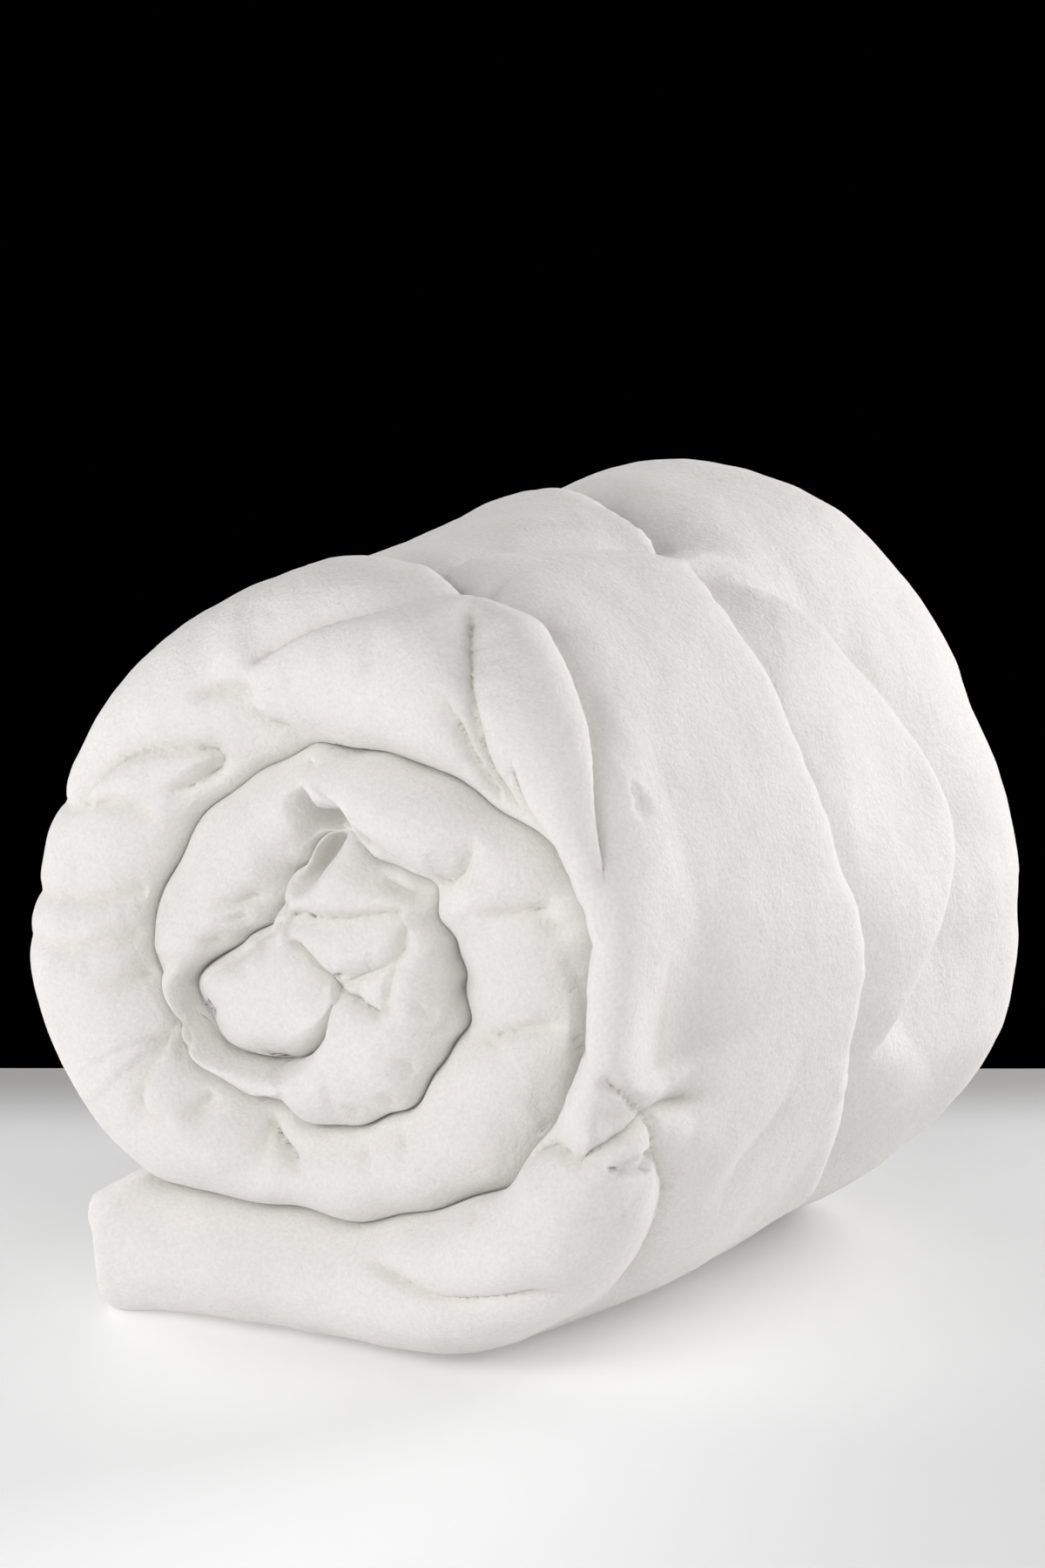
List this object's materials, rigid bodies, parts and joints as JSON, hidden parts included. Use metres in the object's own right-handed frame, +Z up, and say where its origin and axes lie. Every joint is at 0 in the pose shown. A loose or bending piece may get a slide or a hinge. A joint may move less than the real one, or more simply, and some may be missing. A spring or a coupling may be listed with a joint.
{
  "type": "rolled quilt",
  "caption": "Thick filled quilt, folded lengthwise and rolled into a soft bundle, with its loose end lying flat beneath the spiral.",
  "frame": {"origin": "on the floor under the roll, on the flat spot that the quilt rests on", "axes": "+Y along the roll's axis away from its open spiral end, +Z up, and the loose end towards -X"},
  "size_m": [0.447, 0.4961, 0.4656],
  "materials": {
    "cloth": "matte brushed cotton, warm off-white"
  },
  "bodies": {
    "root": {"quilt": "cloth"}
  },
  "joints": []
}
